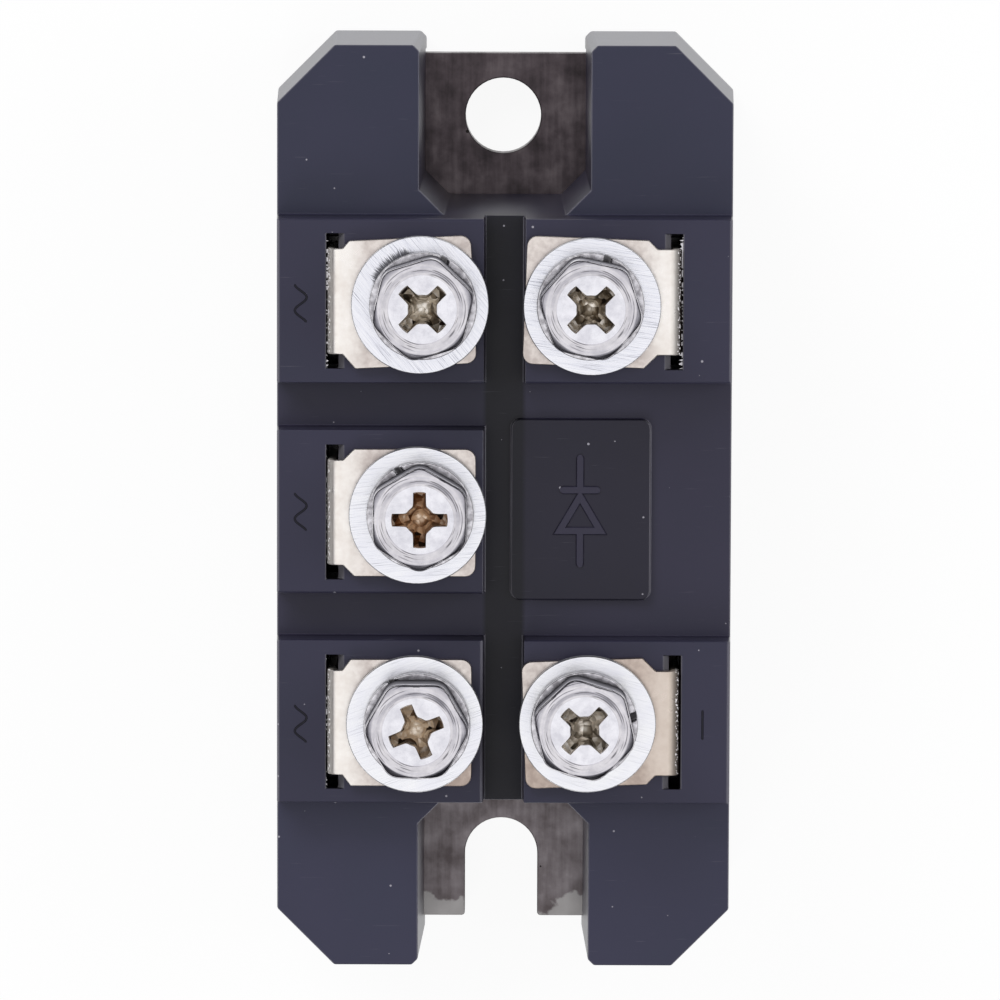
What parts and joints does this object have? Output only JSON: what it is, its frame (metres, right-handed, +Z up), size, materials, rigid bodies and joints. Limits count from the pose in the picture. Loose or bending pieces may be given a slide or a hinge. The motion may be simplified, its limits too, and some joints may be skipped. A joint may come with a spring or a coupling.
{
  "type": "bridge rectifier",
  "caption": "Three-phase bridge rectifier module: flat metal base plate, moulded housing with raised screw terminals, sealed diodes inside.",
  "frame": {"origin": "centre of the base plate's underside", "axes": "+Z up from the base plate through the terminals, +Y towards the end with the round mounting hole"},
  "size_m": [0.04, 0.08, 0.0307],
  "materials": {
    "housing_plastic": "moulded, faint sheen",
    "plate_metal": "nickel plate, stained",
    "terminal_nickel": "warm nickel plate, satin",
    "screw_plating": "bright plated",
    "washer_plating": "bright plated, brushed",
    "nut_plating": "zinc plated",
    "copper": "bare copper",
    "ceramic": "fired alumina",
    "silicon": "passivated silicon",
    "silicone_gel": "clear soft gel",
    "epoxy": "cast, glossy"
  },
  "bodies": {
    "root": {"base_plate": "plate_metal", "housing": "housing_plastic", "substrate_back_copper": "copper", "ceramic_substrate": "ceramic", "plus_track": "copper", "minus_track": "copper", "ac_track_1": "copper", "ac_track_2": "copper", "ac_track_3": "copper", "diode_chip_1": "silicon", "diode_chip_2": "silicon", "diode_chip_3": "silicon", "diode_chip_4": "silicon", "diode_chip_5": "silicon", "diode_chip_6": "silicon", "ac_clip_1": "copper", "ac_clip_2": "copper", "ac_clip_3": "copper", "minus_bus": "copper", "terminal_ac_1": "terminal_nickel", "terminal_ac_2": "terminal_nickel", "terminal_ac_3": "terminal_nickel", "terminal_plus": "terminal_nickel", "terminal_minus": "terminal_nickel", "silicone_gel": "silicone_gel", "epoxy_fill": "epoxy", "captive_nuts": "nut_plating", "flat_washers": "washer_plating", "lock_washers": "screw_plating", "terminal_screws": "screw_plating"}
  },
  "joints": []
}
